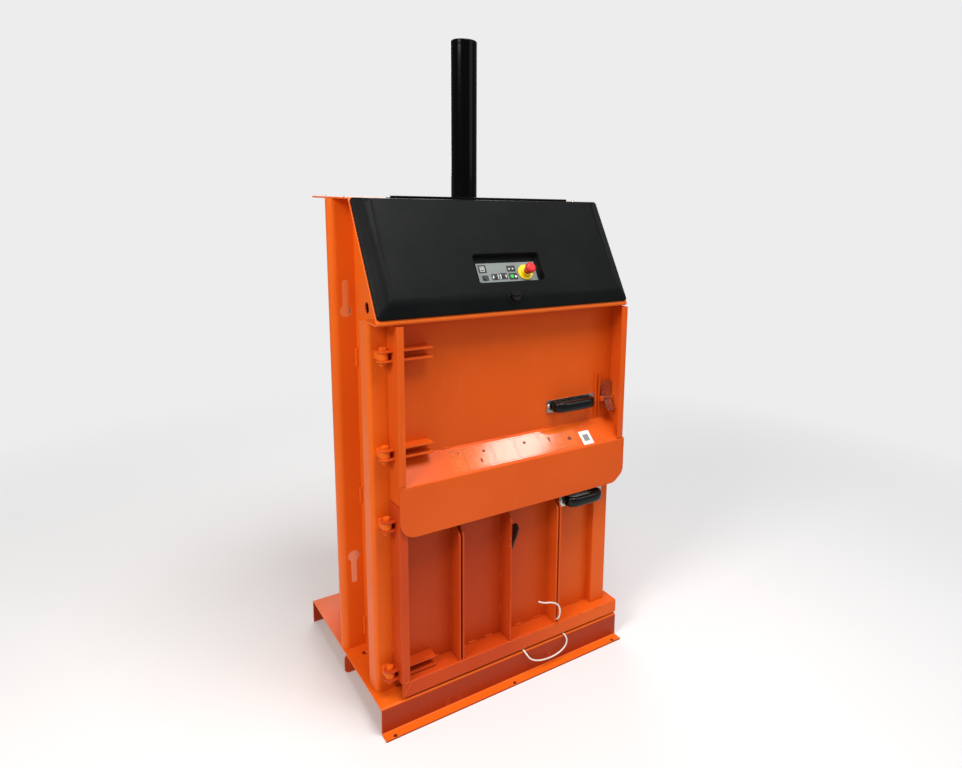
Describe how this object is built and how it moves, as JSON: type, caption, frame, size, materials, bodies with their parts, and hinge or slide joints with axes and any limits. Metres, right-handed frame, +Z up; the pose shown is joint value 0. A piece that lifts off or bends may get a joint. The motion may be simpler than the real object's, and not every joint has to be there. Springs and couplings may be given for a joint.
{
  "type": "recycling baler",
  "caption": "Upright recycling baler with a folded steel press frame, two side-hung doors, a top cylinder and press plate, latches, and a sloping service cover with push controls.",
  "frame": {"origin": "centre of the floor plan, on the floor under the base", "axes": "+X to the right of someone facing the doors, +Y to the back, +Z up"},
  "size_m": [0.86, 0.691, 1.987],
  "materials": {
    "orange": "powder coat, fine orange peel",
    "orange_door": "powder coat, fine orange peel",
    "black_paint": "gloss paint",
    "charcoal": "grained plastic",
    "black_grip": "smooth",
    "steel": "zinc plated",
    "bright_steel": "polished",
    "plate": "silver film",
    "yellow": "smooth",
    "red": "smooth",
    "green": "smooth",
    "black_button": "smooth",
    "grey_paint": "paint",
    "galv": "zinc",
    "cast": "machined",
    "strap": "woven strap",
    "nylon": "smooth"
  },
  "bodies": {
    "frame": {"base_plate": "orange", "bottom_beam": "orange", "column_left": "orange", "column_right": "orange", "side_wall_left": "orange", "side_wall_right": "orange", "rear_wall": "orange", "rear_cover": "orange", "chamber_floor": "orange", "front_post_left": "orange", "front_post_right": "orange", "hinge_lugs": "orange", "hinge_pins": "orange", "hood_plate": "orange", "hood_gussets": "orange", "cylinder_barrel": "black_paint", "cylinder_cap": "black_paint", "cylinder_flange": "black_paint", "cylinder_gland": "steel", "cylinder_pipework": "steel", "pack_shelf": "orange", "oil_tank": "black_paint", "pump_motor": "grey_paint", "valve_block": "cast", "control_box": "grey_paint", "cover_hinge": "black_paint", "strap_loop": "strap"},
    "press": {"press_plate": "orange", "press_ribs": "orange", "press_rod": "bright_steel", "press_guides": "nylon"},
    "lower_door": {"lower_panel_left": "orange_door", "lower_panel_middle": "orange_door", "lower_panel_right": "orange_door", "lower_rib": "orange_door", "lower_channel": "orange_door", "lower_top_rail": "orange_door", "lower_hinge_ears": "orange_door", "lower_handle_plate": "steel", "lower_grip": "black_grip", "lower_latch_mount": "orange_door", "strap_cleat": "black_grip", "strap_tail": "strap"},
    "upper_door": {"upper_door_shell": "orange_door", "shelf_apron": "orange_door", "upper_hinge_ears": "orange_door", "upper_handle_plate": "steel", "upper_grip": "black_grip", "upper_latch_mount": "orange_door"},
    "upper_latch": {"upper_latch_lever": "steel"},
    "lower_latch": {"lower_latch_lever": "steel"},
    "cover": {"service_cover": "charcoal", "control_plate": "plate", "stop_base": "yellow"},
    "stop": {"stop_button": "red"},
    "key_left": {"button_left": "black_button"},
    "key_down": {"button_down": "black_button"},
    "key_up": {"button_up": "black_button"},
    "key_green": {"button_green": "green"},
    "lock": {"cover_lock": "black_grip"}
  },
  "joints": [
    {"name": "press_stroke", "type": "slide", "parent": "frame", "child": "press", "axis": [0, 0, -1], "range_m": [0, 0.62]},
    {"name": "lower_door_hinge", "type": "hinge", "parent": "frame", "child": "lower_door", "pos_m": [-0.387, -0.2725, 0.4], "axis": [0, 0, 1], "range_deg": [-120, 0]},
    {"name": "upper_door_hinge", "type": "hinge", "parent": "lower_door", "child": "upper_door", "pos_m": [-0.387, -0.2725, 0.95], "axis": [0, 0, -1], "range_deg": [0, 120]},
    {"name": "upper_latch_pivot", "type": "hinge", "parent": "upper_door", "child": "upper_latch", "pos_m": [0.394, -0.2635, 0.868], "axis": [1, 0, 0], "range_deg": [0, 25]},
    {"name": "lower_latch_pivot", "type": "hinge", "parent": "lower_door", "child": "lower_latch", "pos_m": [0.37, -0.2935, 0.628], "axis": [1, 0, 0], "range_deg": [0, 14]},
    {"name": "cover_hinge_turn", "type": "hinge", "parent": "frame", "child": "cover", "pos_m": [0, -0.1325, 1.5156], "axis": [1, 0, 0], "range_deg": [-60, 0]},
    {"name": "lock_turn", "type": "hinge", "parent": "cover", "child": "lock", "pos_m": [-0.008, -0.32436, 1.24579], "axis": [0, 0.86, -0.5103], "range_deg": [0, 90]},
    {"name": "stop_press", "type": "slide", "parent": "cover", "child": "stop", "axis": [0, 0.86, -0.5103], "range_m": [0, 0.004], "stiffness_N_per_m": 2500},
    {"name": "button_left_press", "type": "slide", "parent": "cover", "child": "key_left", "axis": [0, 0.86, -0.5103], "range_m": [0, 0.0012], "stiffness_N_per_m": 1500},
    {"name": "button_down_press", "type": "slide", "parent": "cover", "child": "key_down", "axis": [0, 0.86, -0.5103], "range_m": [0, 0.0012], "stiffness_N_per_m": 1500},
    {"name": "button_up_press", "type": "slide", "parent": "cover", "child": "key_up", "axis": [0, 0.86, -0.5103], "range_m": [0, 0.0012], "stiffness_N_per_m": 1500},
    {"name": "button_green_press", "type": "slide", "parent": "cover", "child": "key_green", "axis": [0, 0.86, -0.5103], "range_m": [0, 0.0012], "stiffness_N_per_m": 1500}
  ]
}
